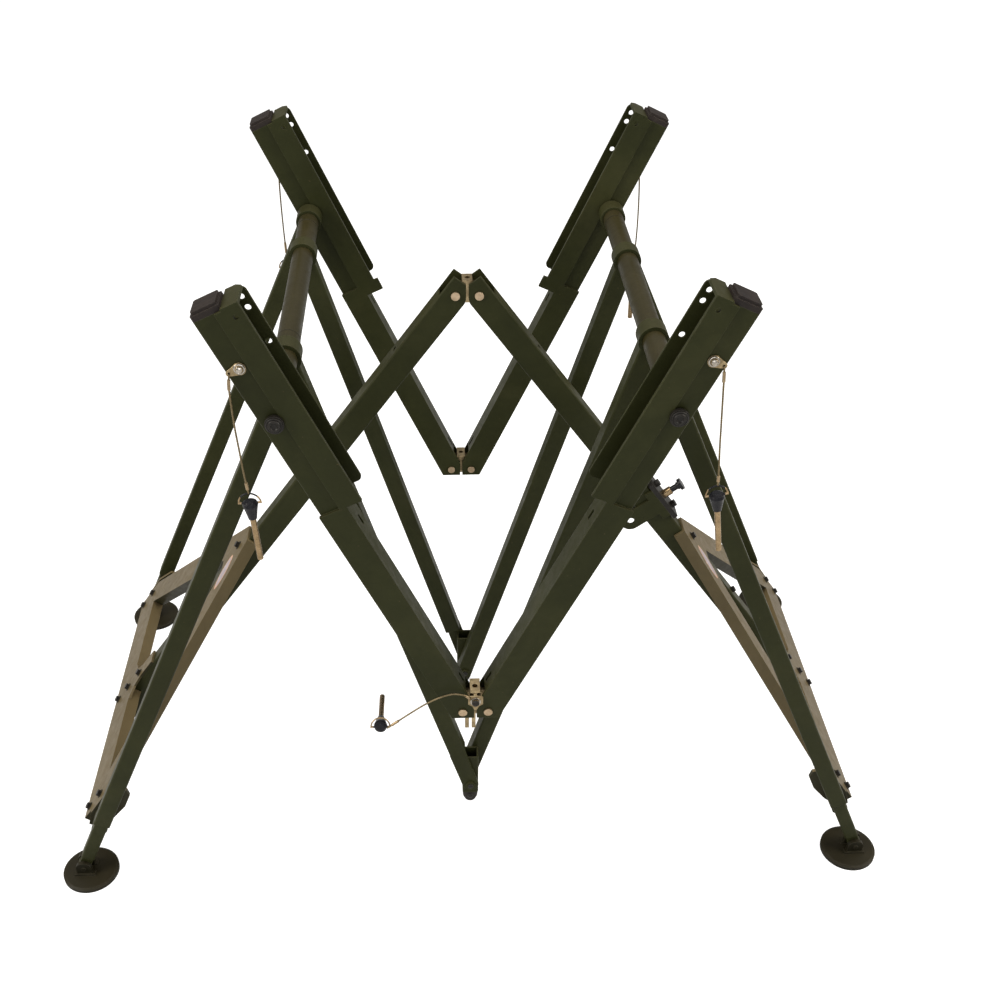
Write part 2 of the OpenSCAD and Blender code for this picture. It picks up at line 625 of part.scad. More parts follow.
// A round cord swept along points, with flat ends
module cord(route, r) {
    n = len(route);
    k = 8;
    pts = [for (i = [0 : n - 1]) let(
        t = unit(route[min(i + 1, n - 1)] - route[max(i - 1, 0)]),
        a = unit(cross(t, [0.02, 1, 0.03])), b = cross(t, a))
        for (j = [0 : k - 1]) route[i] + r * (cos(360 * j / k) * a + sin(360 * j / k) * b)];
    faces = concat([[for (j = [0 : k - 1]) j]],
        [for (i = [0 : n - 2], j = [0 : k - 1]) [i * k + j, (i + 1) * k + j,
            (i + 1) * k + (j + 1) % k, i * k + (j + 1) % k]],
        [[for (j = [k - 1 : -1 : 0]) (n - 1) * k + j]]);
    polyhedron(pts, faces, convexity = 8);
}

rail(rail_y_front, false, 0);  // rail_front_left
rail(rail_y_front, true, 0);  // rail_front_right
rail(rail_y_rear, false, 18);  // rail_rear_left
rail(rail_y_rear, true, 18);  // rail_rear_right
plug(rail_y_front, false);  // plug_front_left
plug(rail_y_front, true);  // plug_front_right
plug(rail_y_rear, false);  // plug_rear_left
plug(rail_y_rear, true);  // plug_rear_right
axle(false);  // axle_left
axle(true);  // axle_right
axle_caps(false);  // axle_caps_left
axle_caps(true);  // axle_caps_right
inner_leg(inner_y_fl, -1, true, false);  // inner_leg_front_left
inner_leg(inner_y_fr, -1, false, true);  // inner_leg_front_right
inner_leg(inner_y_rl, 1, true, false);  // inner_leg_rear_left
inner_leg(inner_y_rr, 1, false, true);  // inner_leg_rear_right
centre_foot(centre_y_front, -1);  // centre_foot_front
centre_foot(centre_y_rear, 1);  // centre_foot_rear
centre_tip(centre_y_front);  // centre_tip_front
centre_tip(centre_y_rear);  // centre_tip_rear
outer_leg(outer_y_front, -1, false);  // outer_leg_front_left
outer_leg(outer_y_front, -1, true);  // outer_leg_front_right
outer_leg(outer_y_rear, 1, false);  // outer_leg_rear_left
outer_leg(outer_y_rear, 1, true);  // outer_leg_rear_right
disc_foot(-1, false);  // disc_foot_front_left
disc_foot(-1, true);  // disc_foot_front_right
disc_foot(1, false);  // disc_foot_rear_left
disc_foot(1, true);  // disc_foot_rear_right
strut(false);  // strut_left
strut(true);  // strut_right
spreader_bar(false);  // spreader_bar_left
spreader_bar(true);  // spreader_bar_right
brace_plate(false);  // brace_plate_left
brace_plate(true);  // brace_plate_right
frame_bolts(false);  // frame_bolts_left
frame_bolts(true);  // frame_bolts_right
hinge_block(rail_y_front, rail_w - 2 * rail_t - 2 * side_gap, hinge_z, hinge_x, 30,  // hinge_block_front
        -near_y - rail_w / 2 + rail_t + 2 * side_gap);
hinge_block(rail_y_rear, rail_w - 2 * rail_t - 2 * side_gap, hinge_z, hinge_x, 24, 0);  // hinge_block_rear
hinge_block(strut_cy, strut_y - 6 - 2 * side_gap, top_z, top_x, 22, 0);  // hinge_block_top
hinge_rivets(rail_y_front, near_y - side_gap, rail_w / 2 + side_gap, hinge_z, hinge_x);  // hinge_rivets_front
hinge_rivets(rail_y_rear, near_y - side_gap, rail_w / 2 + side_gap, hinge_z, hinge_x);  // hinge_rivets_rear
hinge_rivets(strut_cy, -strut_y / 2 - side_gap, strut_y / 2 + side_gap, top_z, top_x);  // hinge_rivets_top
latch_bracket();
latch_plate();
latch_plunger();
tab(tab_front_y, -1, false);  // tab_front_left
tab(tab_front_y, -1, true);  // tab_front_right
tab(tab_rear_y, 1, false);  // tab_rear_left
tab(tab_rear_y, 1, true);  // tab_rear_right
hinge_plate();  // tab_hinge
lock_pin(pin_at_fl, [0, -2.4, 0], 0);  // pin_front_left
lock_pin(pin_at_fr, [0, -9.2, 0], 0);  // pin_front_right
lock_pin(pin_at_rl, [0, 0, 0], 0);  // pin_rear_left
lock_pin(pin_at_rr, [0, -1.8, 0], 0);  // pin_rear_right
lock_pin(pin_at_hinge, [76, 0, 0], 100);  // pin_hinge
color(brass) cord(cable_pts_fl, wire_r);  // cable_front_left
color(brass) cord(cable_pts_fr, wire_r);  // cable_front_right
color(brass) cord(cable_pts_rl, wire_r);  // cable_rear_left
color(brass) cord(cable_pts_rr, wire_r);  // cable_rear_right
color(brass) cord(cable_pts_hinge, wire_r);  // cable_hinge
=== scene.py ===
import math
import bpy
import bmesh
from mathutils import Matrix, Vector


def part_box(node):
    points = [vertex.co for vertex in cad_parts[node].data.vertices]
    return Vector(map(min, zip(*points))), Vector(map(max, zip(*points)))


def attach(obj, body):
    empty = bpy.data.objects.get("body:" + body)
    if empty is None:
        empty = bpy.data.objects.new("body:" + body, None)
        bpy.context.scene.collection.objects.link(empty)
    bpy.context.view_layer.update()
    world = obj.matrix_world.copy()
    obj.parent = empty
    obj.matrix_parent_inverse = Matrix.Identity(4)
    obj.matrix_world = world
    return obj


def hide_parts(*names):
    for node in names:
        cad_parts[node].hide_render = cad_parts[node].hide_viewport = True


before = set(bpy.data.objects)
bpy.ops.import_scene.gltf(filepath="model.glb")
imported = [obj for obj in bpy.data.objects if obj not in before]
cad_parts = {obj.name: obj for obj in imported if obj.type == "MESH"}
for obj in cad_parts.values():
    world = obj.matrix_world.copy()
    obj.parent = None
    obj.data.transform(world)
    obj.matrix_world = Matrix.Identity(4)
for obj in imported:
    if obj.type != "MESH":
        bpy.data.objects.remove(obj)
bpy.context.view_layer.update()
MM = 0.001

# Camera, solved from the photograph: pixels of its frame, degrees and millimetres
IMAGE_PX = 1000
FOCAL_PX = 1188.72
CENTRE_PX = (470.08, 599.86)
SENSOR_WIDTH = 36.0
PITCH, YAW, ROLL = 39.617, 2.324, 0.22
CAMERA_AT = (-59.41, -1624.57, 1649.52)

# Driving sizes of the part, in millimetres and degrees, as in the part's source
RAIL_LEAN = 24.5
RAIL_DOWN = 548
HINGE_X = 18.75
AXLE_Z = 897
TAB_V, TAB_U = -15, 80
STRUT_AT = (17.3, 893)
STRUT_RUN, STRUT_DROP = 0.6, 0.8
FRONT_Y, REAR_Y = -350, 300
HANG_OUT = 22.4
EYELET_OUT = 21.2
SEAMS_Y = (-160, 218)
PLATE_Y = -374.3

SN, CS = math.sin(math.radians(RAIL_LEAN)), math.cos(math.radians(RAIL_LEAN))
AXLE_X = HINGE_X + RAIL_DOWN * SN
HINGE_Z = AXLE_Z - RAIL_DOWN * CS
PLATE_Z = HINGE_Z + 22
TAB_X = AXLE_X - TAB_V * CS + TAB_U * SN
TAB_Z = AXLE_Z + TAB_V * SN + TAB_U * CS
SIDES = (("left", -1), ("right", 1))
ENDS = (("front", FRONT_Y, -1), ("rear", REAR_Y, 1))


def v3(*p):
    """A point given in millimetres."""
    return Vector(p) * MM


def make_camera():
    """The photograph's camera, with its off-centre frame as lens shift."""
    pitch, yaw, roll = (math.radians(a) for a in (PITCH, YAW, ROLL))
    fwd = Vector((math.sin(yaw) * math.cos(pitch), math.cos(yaw) * math.cos(pitch), -math.sin(pitch)))
    level_right = Vector((math.cos(yaw), -math.sin(yaw), 0.0))
    level_up = level_right.cross(fwd)
    right = math.cos(roll) * level_right + math.sin(roll) * level_up
    up = -math.sin(roll) * level_right + math.cos(roll) * level_up
    cam = bpy.data.cameras.new("camera")
    cam.sensor_width = SENSOR_WIDTH
    cam.lens = FOCAL_PX / IMAGE_PX * SENSOR_WIDTH
    cam.shift_x = (IMAGE_PX / 2 - CENTRE_PX[0]) / IMAGE_PX
    cam.shift_y = (CENTRE_PX[1] - IMAGE_PX / 2) / IMAGE_PX
    cam.clip_start, cam.clip_end = 0.05, 60.0
    obj = bpy.data.objects.new("camera", cam)
    bpy.context.collection.objects.link(obj)
    m = Matrix((right, up, -fwd)).transposed().to_4x4()
    m.translation = v3(*CAMERA_AT)
    obj.matrix_world = m
    bpy.context.scene.camera = obj


make_camera()


# Places on the part
def rail_pt(sg, u, v, y):
    """A point in a rail's frame: u up along it, v across it, y as it is."""
    return v3(sg * (AXLE_X - CS * v + SN * u), y, AXLE_Z + SN * v + CS * u)


def frame_pt(sg, s, y, n):
    """A point in a strut's frame: s down along it, n outward from its middle."""
    return v3(sg * (STRUT_AT[0] + STRUT_RUN * s + STRUT_DROP * n), y,
              STRUT_AT[1] - STRUT_DROP * s + STRUT_RUN * n)


def frame_axes(sg):
    """Matrix whose X is a strut's n, Y the row's Y and Z up along the strut."""
    ex = Vector((sg * STRUT_DROP, 0, STRUT_RUN))
    ez = Vector((-sg * STRUT_RUN, 0, STRUT_DROP))
    return Matrix((ex, Vector((0, 1, 0)), ez)).transposed()


# Shapes
def new_obj(name, bm, mat):
    """A smooth object from a bmesh, with its sharp edges kept."""
    bmesh.ops.recalc_face_normals(bm, faces=bm.faces)
    me = bpy.data.meshes.new(name)
    bm.to_mesh(me)
    bm.free()
    me.materials.append(mat)
    for p in me.polygons:
        p.use_smooth = True
    obj = bpy.data.objects.new(name, me)
    bpy.context.collection.objects.link(obj)
    split = obj.modifiers.new("edges", "EDGE_SPLIT")
    split.split_angle = math.radians(38)
    return obj


def skin(bm, rings):
    """Faces between rings of the same count, with a cap on each end."""
    n = len(rings[0])
    for p, q in zip(rings, rings[1:]):
        for i in range(n):
            j = (i + 1) % n
            bm.faces.new((p[i], p[j], q[j], q[i]))
    bm.faces.new(rings[0])
    bm.faces.new(rings[-1])


def lathe_into(bm, profile, origin, axis, seg=32):
    """Turns a profile of (radius, height) in mm about axis through origin."""
    axis = Vector(axis).normalized()
    a = axis.cross(Vector((0.31, 0.52, 0.79))).normalized()
    b = axis.cross(a)
    angles = [2 * math.pi * i / seg for i in range(seg)]
    rings = []
    for r, h in profile:
        centre = origin + axis * h * MM
        reach = max(r, 0.01)
        spokes = [(a * math.cos(t) + b * math.sin(t)) * reach * MM for t in angles]
        rings.append([bm.verts.new(centre + spoke) for spoke in spokes])
    skin(bm, rings)


def plate_into(bm, outline, axes, origin, t, lip):
    """A bevelled plate: outline in (y, z) mm of axes, thickness t along its X."""
    cy = sum(p[0] for p in outline) / len(outline)
    cz = sum(p[1] for p in outline) / len(outline)

    def ring(x, inset):
        out = []
        for y, z in outline:
            dy, dz = y - cy, z - cz
            d = max(math.hypot(dy, dz), 1e-6)
            place = Vector((x, y - dy / d * inset, z - dz / d * inset))
            out.append(bm.verts.new(origin + axes @ (place * MM)))
        return out
    skin(bm, [ring(0, lip), ring(lip, 0), ring(t - lip, 0), ring(t, lip)])


def sweep(name, pts, radius, mat, seg=12, twist=0.0, lobes=0, depth=0.0):
    """A tube along points; lobes and twist give the strands of a wire rope."""
    bm = bmesh.new()
    rings = []
    a = None
    turn = 0.0
    for i, p in enumerate(pts):
        t = (pts[min(i + 1, len(pts) - 1)] - pts[max(i - 1, 0)]).normalized()
        if a is None:
            a = t.cross(Vector((0.13, 0.9, 0.21))).normalized()
        a = (a - t * a.dot(t)).normalized()
        b = t.cross(a)
        if i:
            turn += (pts[i] - pts[i - 1]).length / MM * twist
        ring = []
        for k in range(seg):
            w = 2 * math.pi * k / seg
            r = radius * (1 - depth + depth * abs(math.cos(lobes * w / 2))) if lobes else radius
            ring.append(bm.verts.new(p + (a * math.cos(w + turn) + b * math.sin(w + turn)) * r * MM))
        rings.append(ring)
    skin(bm, rings)
    return new_obj(name, bm, mat)


def smooth_route(route, per):
    """A smooth curve through the route's points, with per points in each stretch."""
    p = [v3(*q) for q in route]
    p = [p[0] * 2 - p[1]] + p + [p[-1] * 2 - p[-2]]
    out = []
    for i in range(1, len(p) - 2):
        for k in range(per):
            t = k / per
            out.append(0.5 * ((2 * p[i]) + (p[i + 1] - p[i - 1]) * t
                              + (2 * p[i - 1] - 5 * p[i] + 4 * p[i + 1] - p[i + 2]) * t * t
                              + (3 * p[i] - p[i - 1] - 3 * p[i + 1] + p[i + 2]) * t ** 3))
    out.append(p[-2])
    return out


# Shader helpers
def feed(nt, sock, val):
    """Links a socket to another one, or sets its value; a colour of three numbers is opaque."""
    if hasattr(val, "is_output"):
        nt.links.new(val, sock)
    elif sock.type == "RGBA" and len(val) == 3:
        sock.default_value = (*val, 1.0)
    else:
        sock.default_value = val


def blank(id_data, output):
    """The id's emptied node tree and its new output node."""
    id_data.use_nodes = True
    nt = id_data.node_tree
    nt.nodes.clear()
    return nt, nt.nodes.new(output)


def surface(name):
    """A new material with one Principled shader: the material, its tree, the shader, object coordinates."""
    mat = bpy.data.materials.new(name)
    nt, out = blank(mat, "ShaderNodeOutputMaterial")
    bsdf = nt.nodes.new("ShaderNodeBsdfPrincipled")
    nt.links.new(bsdf.outputs[0], out.inputs[0])
    return mat, nt, bsdf, nt.nodes.new("ShaderNodeTexCoord").outputs["Object"]


def noise(nt, coord, scale, detail=4.0, rough=0.55, dist=0.0):
    n = nt.nodes.new("ShaderNodeTexNoise")
    n.inputs["Scale"].default_value = scale
    n.inputs["Detail"].default_value = detail
    n.inputs["Roughness"].default_value = rough
    n.inputs["Distortion"].default_value = dist
    nt.links.new(coord, n.inputs["Vector"])
    return n.outputs[0]


def ramp(nt, fac, stops):
    r = nt.nodes.new("ShaderNodeValToRGB")
    el = r.color_ramp.elements
    el[0].position, el[0].color = stops[0]
    el[1].position, el[1].color = stops[-1]
    for pos, col in stops[1:-1]:
        e = el.new(pos)
        e.color = col
    nt.links.new(fac, r.inputs[0])
    return r.outputs[0]


def grey(v):
    return (v, v, v, 1.0)


def greys(nt, fac, low, high):
    """A grey ramp between two stops of (position, shade)."""
    return ramp(nt, fac, [(low[0], grey(low[1])), (high[0], grey(high[1]))])


def mix(nt, fac, a, b):
    m = nt.nodes.new("ShaderNodeMix")
    m.data_type = "RGBA"
    for sock, val in ((m.inputs[0], fac), (m.inputs[6], a), (m.inputs[7], b)):
        feed(nt, sock, val)
    return m.outputs[2]


def maths(nt, op, a, b, clamp=False):
    m = nt.nodes.new("ShaderNodeMath")
    m.operation = op
    m.use_clamp = clamp
    feed(nt, m.inputs[0], a)
    feed(nt, m.inputs[1], b)
    return m.outputs[0]


def vector_maths(nt, op, a, b=None):
    m = nt.nodes.new("ShaderNodeVectorMath")
    m.operation = op
    feed(nt, m.inputs[0], a)
    if b is not None:
        feed(nt, m.inputs[1], b)
    return m.outputs["Value" if op in ("DOT_PRODUCT", "LENGTH") else "Vector"]


def map_range(nt, value, low, high, top=1.0):
    """0 at low to top at high."""
    m = nt.nodes.new("ShaderNodeMapRange")
    m.inputs["From Min"].default_value = low
    m.inputs["From Max"].default_value = high
    m.inputs["To Max"].default_value = top
    nt.links.new(value, m.inputs["Value"])
    return m.outputs[0]


def bump_chain(nt, bsdf, height, strength, dist, edge=0.0012):
    """Worn rounded edges from a bevel, with fine relief on top."""
    bev = nt.nodes.new("ShaderNodeBevel")
    bev.samples = 4
    bev.inputs["Radius"].default_value = edge
    b = nt.nodes.new("ShaderNodeBump")
    b.inputs["Strength"].default_value = strength
    b.inputs["Distance"].default_value = dist
    nt.links.new(height, b.inputs["Height"])
    nt.links.new(bev.outputs[0], b.inputs["Normal"])
    nt.links.new(b.outputs[0], bsdf.inputs["Normal"])
    return bev.outputs[0]


def edge_wear(nt, bevel, amount):
    """How much the rounded normal departs from the flat one: an edge mask."""
    flat = nt.nodes.new("ShaderNodeNewGeometry").outputs["Normal"]
    return map_range(nt, vector_maths(nt, "DOT_PRODUCT", bevel, flat), 1.0, 0.90, amount)


# Materials
def paint(name, base, dark, light, rough, dust_and_sheen, dust_and_sheen_amount, wear, spec, shaded=None):
    """Satin field paint: cloudy tone, a dusty and painted-sunlit tan where it faces up, painted shade on
    other faces when a shaded colour is given, scuffs and worn edges.
    """
    mat, nt, bsdf, co = surface(name)
    cloud = noise(nt, co, 7.0, 5.0, 0.6, 0.4)
    col = ramp(nt, cloud, [(0.30, (*dark, 1)), (0.52, (*base, 1)), (0.74, (*light, 1))])
    blotch = noise(nt, co, 38.0, 6.0, 0.65, 0.8)
    col = mix(nt, greys(nt, blotch, (0.42, 0), (0.66, 0.35)), col, tuple(c * 0.72 for c in base))
    sep = nt.nodes.new("ShaderNodeSeparateXYZ")
    nt.links.new(nt.nodes.new("ShaderNodeNewGeometry").outputs["Normal"], sep.inputs[0])
    faces_up = sep.outputs[2]
    # Painted shade: faces that point little or not at all up take the shaded colour
    if shaded:
        col = mix(nt, map_range(nt, faces_up, 0.2, 0.5), shaded, col)
    # Dusty tan and painted sunlight: faces that point up turn a lighter tan, in patches
    dust_and_sheen_patches = greys(nt, noise(nt, co, 22.0, 6.0, 0.7), (0.25, 0.55), (0.7, 1.0))
    dust_and_sheen_fac = maths(nt, "MULTIPLY", map_range(nt, faces_up, 0.25, 0.8, dust_and_sheen_amount), dust_and_sheen_patches)
    col = mix(nt, dust_and_sheen_fac, col, dust_and_sheen)
    fine = noise(nt, co, 900.0, 3.0, 0.6)
    mid = noise(nt, co, 160.0, 4.0, 0.6)
    height = maths(nt, "ADD", maths(nt, "MULTIPLY", fine, 0.6), mid)
    bev = bump_chain(nt, bsdf, height, 0.16, 0.0005)
    chips = greys(nt, noise(nt, co, 75.0, 7.0, 0.75, 1.2), (0.40, 0.25), (0.62, 1.0))
    wear_fac = maths(nt, "MULTIPLY", edge_wear(nt, bev, wear), chips, True)
    col = mix(nt, wear_fac, col, tuple(min(1, c * 2.3 + 0.035) for c in light))
    specks = greys(nt, noise(nt, co, 260.0, 2.0, 0.5), (0.73, 0), (0.77, 0.5))
    col = mix(nt, specks, col, (0.10, 0.07, 0.035))
    nt.links.new(col, bsdf.inputs["Base Color"])
    polish = noise(nt, co, 55.0, 6.0, 0.7, 0.5)
    nt.links.new(greys(nt, polish, (0.3, rough - 0.08), (0.7, rough + 0.12)), bsdf.inputs["Roughness"])
    bsdf.inputs["Specular IOR Level"].default_value = spec
    return mat


def metal(name, base, dark, rough, grime, scale=60.0, grain=0.1):
    """Bare metal with grime in patches, fine turning grain and uneven polish."""
    mat, nt, bsdf, co = surface(name)
    fac = greys(nt, noise(nt, co, scale, 6.0, 0.65, 0.6), (0.38, 0), (0.68, grime))
    nt.links.new(mix(nt, fac, base, dark), bsdf.inputs["Base Color"])
    bsdf.inputs["Metallic"].default_value = 1.0
    polish = noise(nt, co, 140.0, 5.0, 0.6)
    nt.links.new(greys(nt, polish, (0.3, rough - 0.1), (0.7, rough + 0.15)), bsdf.inputs["Roughness"])
    bump_chain(nt, bsdf, noise(nt, co, 700.0, 3.0, 0.5), grain, 0.0003, 0.0006)
    return mat


def plastic(name, base, light, rough, spec, bump, scale=420.0):
    """Moulded or rubbery skin with a little dusty mottling and pale edges."""
    mat, nt, bsdf, co = surface(name)
    col = ramp(nt, noise(nt, co, 45.0, 6.0, 0.7, 0.6), [(0.35, (*base, 1)), (0.75, (*light, 1))])
    polish = noise(nt, co, 90.0, 5.0, 0.6)
    nt.links.new(greys(nt, polish, (0.3, rough - 0.08), (0.7, rough + 0.15)), bsdf.inputs["Roughness"])
    bev = bump_chain(nt, bsdf, noise(nt, co, scale, 4.0, 0.6), bump, 0.0004, 0.001)
    col = mix(nt, edge_wear(nt, bev, 0.4), col, tuple(c * 2.2 + 0.02 for c in light))
    nt.links.new(col, bsdf.inputs["Base Color"])
    bsdf.inputs["Specular IOR Level"].default_value = spec
    return mat


def pin_material(name, point, axis, length, beyond=False):
    """Plated steel with a black grip on the first length of the pin, or beyond that length."""
    grip_radius = 0.0108
    mat, nt, bsdf, co = surface(name)
    offset = vector_maths(nt, "SUBTRACT", co, point)
    along = vector_maths(nt, "DOT_PRODUCT", offset, axis)
    off_axis = vector_maths(nt, "LENGTH", vector_maths(nt, "CROSS_PRODUCT", offset, axis))
    inside = maths(nt, "LESS_THAN", off_axis, grip_radius)
    grip = maths(nt, "MULTIPLY", maths(nt, "GREATER_THAN" if beyond else "LESS_THAN", along, length), inside)
    steel = ramp(nt, noise(nt, co, 120.0, 6.0, 0.65, 0.5),
                 [(0.35, (0.46, 0.33, 0.19, 1)), (0.72, (0.24, 0.17, 0.09, 1))])
    nt.links.new(mix(nt, grip, steel, (0.010, 0.010, 0.013)), bsdf.inputs["Base Color"])
    nt.links.new(maths(nt, "SUBTRACT", 1.0, grip), bsdf.inputs["Metallic"])
    bsdf.inputs["Specular IOR Level"].default_value = 0.25
    polish = noise(nt, co, 200.0, 4.0, 0.6)
    nt.links.new(greys(nt, polish, (0.3, 0.2), (0.7, 0.38)), bsdf.inputs["Roughness"])
    bump_chain(nt, bsdf, noise(nt, co, 600.0, 3.0, 0.5), 0.12, 0.0003, 0.0006)
    return mat


OLIVE = paint("olive_paint", (0.0290, 0.0315, 0.0105), (0.022, 0.024, 0.0080), (0.040, 0.041, 0.0150),
              rough=0.42, dust_and_sheen=(0.062, 0.052, 0.026), dust_and_sheen_amount=0.30, wear=0.45, spec=0.12)
OLIVE_AXLE = paint("olive_axle", (0.0255, 0.0225, 0.0070), (0.020, 0.018, 0.0055), (0.034, 0.029, 0.0100),
                   rough=0.36, dust_and_sheen=(0.050, 0.039, 0.018), dust_and_sheen_amount=0.32, wear=0.35, spec=0.2)
OLIVE_FEET = paint("olive_feet", (0.0165, 0.0145, 0.0065), (0.011, 0.010, 0.0045), (0.025, 0.021, 0.0100),
                   rough=0.5, dust_and_sheen=(0.034, 0.027, 0.014), dust_and_sheen_amount=0.35, wear=0.5, spec=0.18)
# The olive paint again with painted sunlight: bright tan on faces that point up, painted shade in the shaded
# colour on the rest
OLIVE_PAINTED_SUNLIT = paint("sunlit_paint", (0.110, 0.083, 0.038), (0.088, 0.066, 0.028), (0.136, 0.105, 0.052),
            rough=0.42, dust_and_sheen=(0.180, 0.136, 0.070), dust_and_sheen_amount=0.55, wear=0.35, spec=0.2,
            shaded=(0.026, 0.024, 0.010))
BLACK_STEEL = plastic("black_steel", (0.009, 0.008, 0.007), (0.019, 0.016, 0.012), 0.38, 0.28, 0.15)
BLACK_PLUG = plastic("black_plug", (0.015, 0.0105, 0.009), (0.030, 0.022, 0.017), 0.5, 0.25, 0.3)
RUBBER = plastic("rubber_tip", (0.014, 0.012, 0.010), (0.035, 0.030, 0.024), 0.65, 0.3, 0.45, 260.0)
BRASS = metal("aged_brass", (0.46, 0.36, 0.21), (0.13, 0.09, 0.045), 0.34, 0.75)
RIVET = metal("rivet_metal", (0.64, 0.49, 0.33), (0.26, 0.18, 0.10), 0.36, 0.6)
STEEL = metal("pin_metal", (0.44, 0.33, 0.20), (0.20, 0.14, 0.08), 0.32, 0.55)
CHROME = metal("bright_metal", (0.52, 0.48, 0.42), (0.20, 0.17, 0.13), 0.2, 0.5)
WIRE = metal("wire_rope", (0.27, 0.21, 0.12), (0.11, 0.08, 0.04), 0.42, 0.6, 220.0, 0.3)
LABEL = plastic("label_face", (0.34, 0.29, 0.33), (0.46, 0.40, 0.42), 0.38, 0.3, 0.05)
LABEL_RIM = plastic("label_rim", (0.56, 0.33, 0.22), (0.68, 0.45, 0.33), 0.42, 0.3, 0.05)
SEAM = plastic("dark_seam", (0.012, 0.010, 0.006), (0.022, 0.019, 0.012), 0.7, 0.2, 0.2)


# Lanyards: the part's own cable points, from the tab or plate that each one hangs from
def hang(side, y, pts):
    return [(side * TAB_X + p[0], y + p[1], TAB_Z + p[2]) for p in pts]


FRONT_HANG, REAR_HANG = FRONT_Y - HANG_OUT, REAR_Y + HANG_OUT
ROUTES = {
    "front_left": hang(-1, FRONT_HANG, [
        (0, 0, 0), (-1.7, -2.6, -17.6), (-1.7, -3.6, -43.6), (-1.2, -3.6, -73.6), (0.2, -3.6, -102.6),
        (1.5, -3.6, -132.6), (3.2, -3.6, -153.6), (4.2, -3.6, -166.6)]),
    "front_right": hang(1, FRONT_HANG, [
        (0, 0, 0), (1.2, -2.6, -17.6), (3.2, -3.6, -43.6), (6.2, -3.6, -78.6), (9.2, -3.6, -113.6),
        (11.7, -3.6, -137.6), (13.4, -3.6, -155.6), (14.2, -3.6, -167.6)]),
    "rear_left": hang(-1, REAR_HANG, [
        (0, 0, 0), (-2.7, 1.6, -17.6), (-3.8, 2.6, -43.6), (-4.2, 2.6, -73.6), (-4.2, 2.6, -108.6),
        (-3.7, 2.6, -138.6), (-3.2, 2.6, -163.6)]),
    "rear_right": hang(1, REAR_HANG, [
        (0, 0, 0), (3.2, 1.6, -17.6), (5.8, 2.6, -43.6), (7.8, 2.6, -78.6), (9, 2.6, -118.6),
        (8.8, 2.6, -153.6), (8.2, 2.6, -177.6)]),
    "hinge": [(p[0], PLATE_Y - 3.4 + p[1], PLATE_Z + p[2]) for p in [
        (-7, 0, 6), (-14, -0.6, 14), (-24, -1.6, 19), (-37, -2.8, 20.5), (-57, -4.3, 14), (-77, -5.8, 2.5),
        (-97, -7.3, -12), (-117, -8.8, -27.5), (-131, -9.8, -38.5)]],
}
# Each pin's place, and its turns about X and Y in degrees
PINS = {
    "front_left": (hang(-1, FRONT_HANG, [(4.3, -3.6, -177.6)])[0], 0, -2.4),
    "front_right": (hang(1, FRONT_HANG, [(14.5, -3.6, -179.6)])[0], 0, -9.2),
    "rear_left": (hang(-1, REAR_HANG, [(-3.2, 2.6, -174.6)])[0], 0, 0),
    "rear_right": (hang(1, REAR_HANG, [(8.2, 2.6, -188.6)])[0], 0, -1.8),
    "hinge": ((-141, PLATE_Y - 14.2, PLATE_Z - 36.5), 76, 0),
}
CRIMPS = (("top", 5, 14), ("end", -15, -6))


def make_cord(key, route):
    """One lanyard: its wire rope in place of the cable and a crimp near each end."""
    pts = smooth_route(route, 12)
    body = "hinge_front" if key == "hinge" else "rail_" + key
    wire = sweep("wire_" + key, pts, 1.35, WIRE, seg=18, twist=0.32, lobes=6, depth=0.22)
    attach(wire, body)
    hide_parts("cable_" + key)
    for tag, first, last in CRIMPS:
        seg = pts[first:last]
        seg = [seg[0], seg[1], seg[len(seg) // 2], seg[-2], seg[-1]]
        sleeve = sweep("crimp_%s_%s" % (key, tag), seg, 2.1, STEEL, seg=14)
        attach(sleeve, body)
    path = [tuple(p) for p in pts[::4]]
    if (len(pts) - 1) % 4:
        path.append(tuple(pts[-1]))


for key, route in ROUTES.items():
    make_cord(key, route)


# Materials on the part's own nodes
def set_mat(node, mat):
    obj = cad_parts[node]
    if not obj.material_slots:
        obj.data.materials.append(mat)
    for s in obj.material_slots:
        s.material = mat


def locking_pin_material(key):
    """A locking pin's material: black knob to 26.8 mm below its place, steel shank beyond."""
    place, turn_x, turn_y = PINS[key]
    axis = Matrix.Rotation(math.radians(turn_y), 3, "Y") @ Matrix.Rotation(math.radians(turn_x), 3, "X") \
        @ Vector((0, 0, -1))
    return pin_material("pin_" + key, tuple(c * MM for c in place), tuple(axis), 0.0268)


def plunger_material():
    """The latch plunger's material: steel to 43.5 mm out from the strut, black knob beyond."""
    outward = (STRUT_DROP, 0, STRUT_RUN)
    return pin_material("plunger_metal", tuple(frame_pt(1, 477, -8, 0)), outward, 0.0435, True)


# The first prefix that fits decides; every other node is painted olive
NODE_MATERIALS = (
    (("axle_caps", "frame_bolts", "latch_plate"), BLACK_STEEL),
    (("axle_",), OLIVE_AXLE),
    (("disc_foot",), OLIVE_FEET),
    # Spreader bars and brace plates: olive paint with painted sunlight and painted shade
    (("spreader_bar", "brace_plate"), OLIVE_PAINTED_SUNLIT),
    (("plug_",), BLACK_PLUG),
    (("centre_tip",), RUBBER),
    (("tab_", "hinge_block"), BRASS),
    (("hinge_rivets",), RIVET),
)


def node_material(name):
    if name == "latch_plunger":
        return plunger_material()
    if name.startswith("pin_"):
        return locking_pin_material(name[len("pin_"):])
    for prefixes, mat in NODE_MATERIALS:
        if name.startswith(prefixes):
            return mat
    return OLIVE


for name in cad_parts:
    if not name.startswith("cable_"):
        set_mat(name, node_material(name))


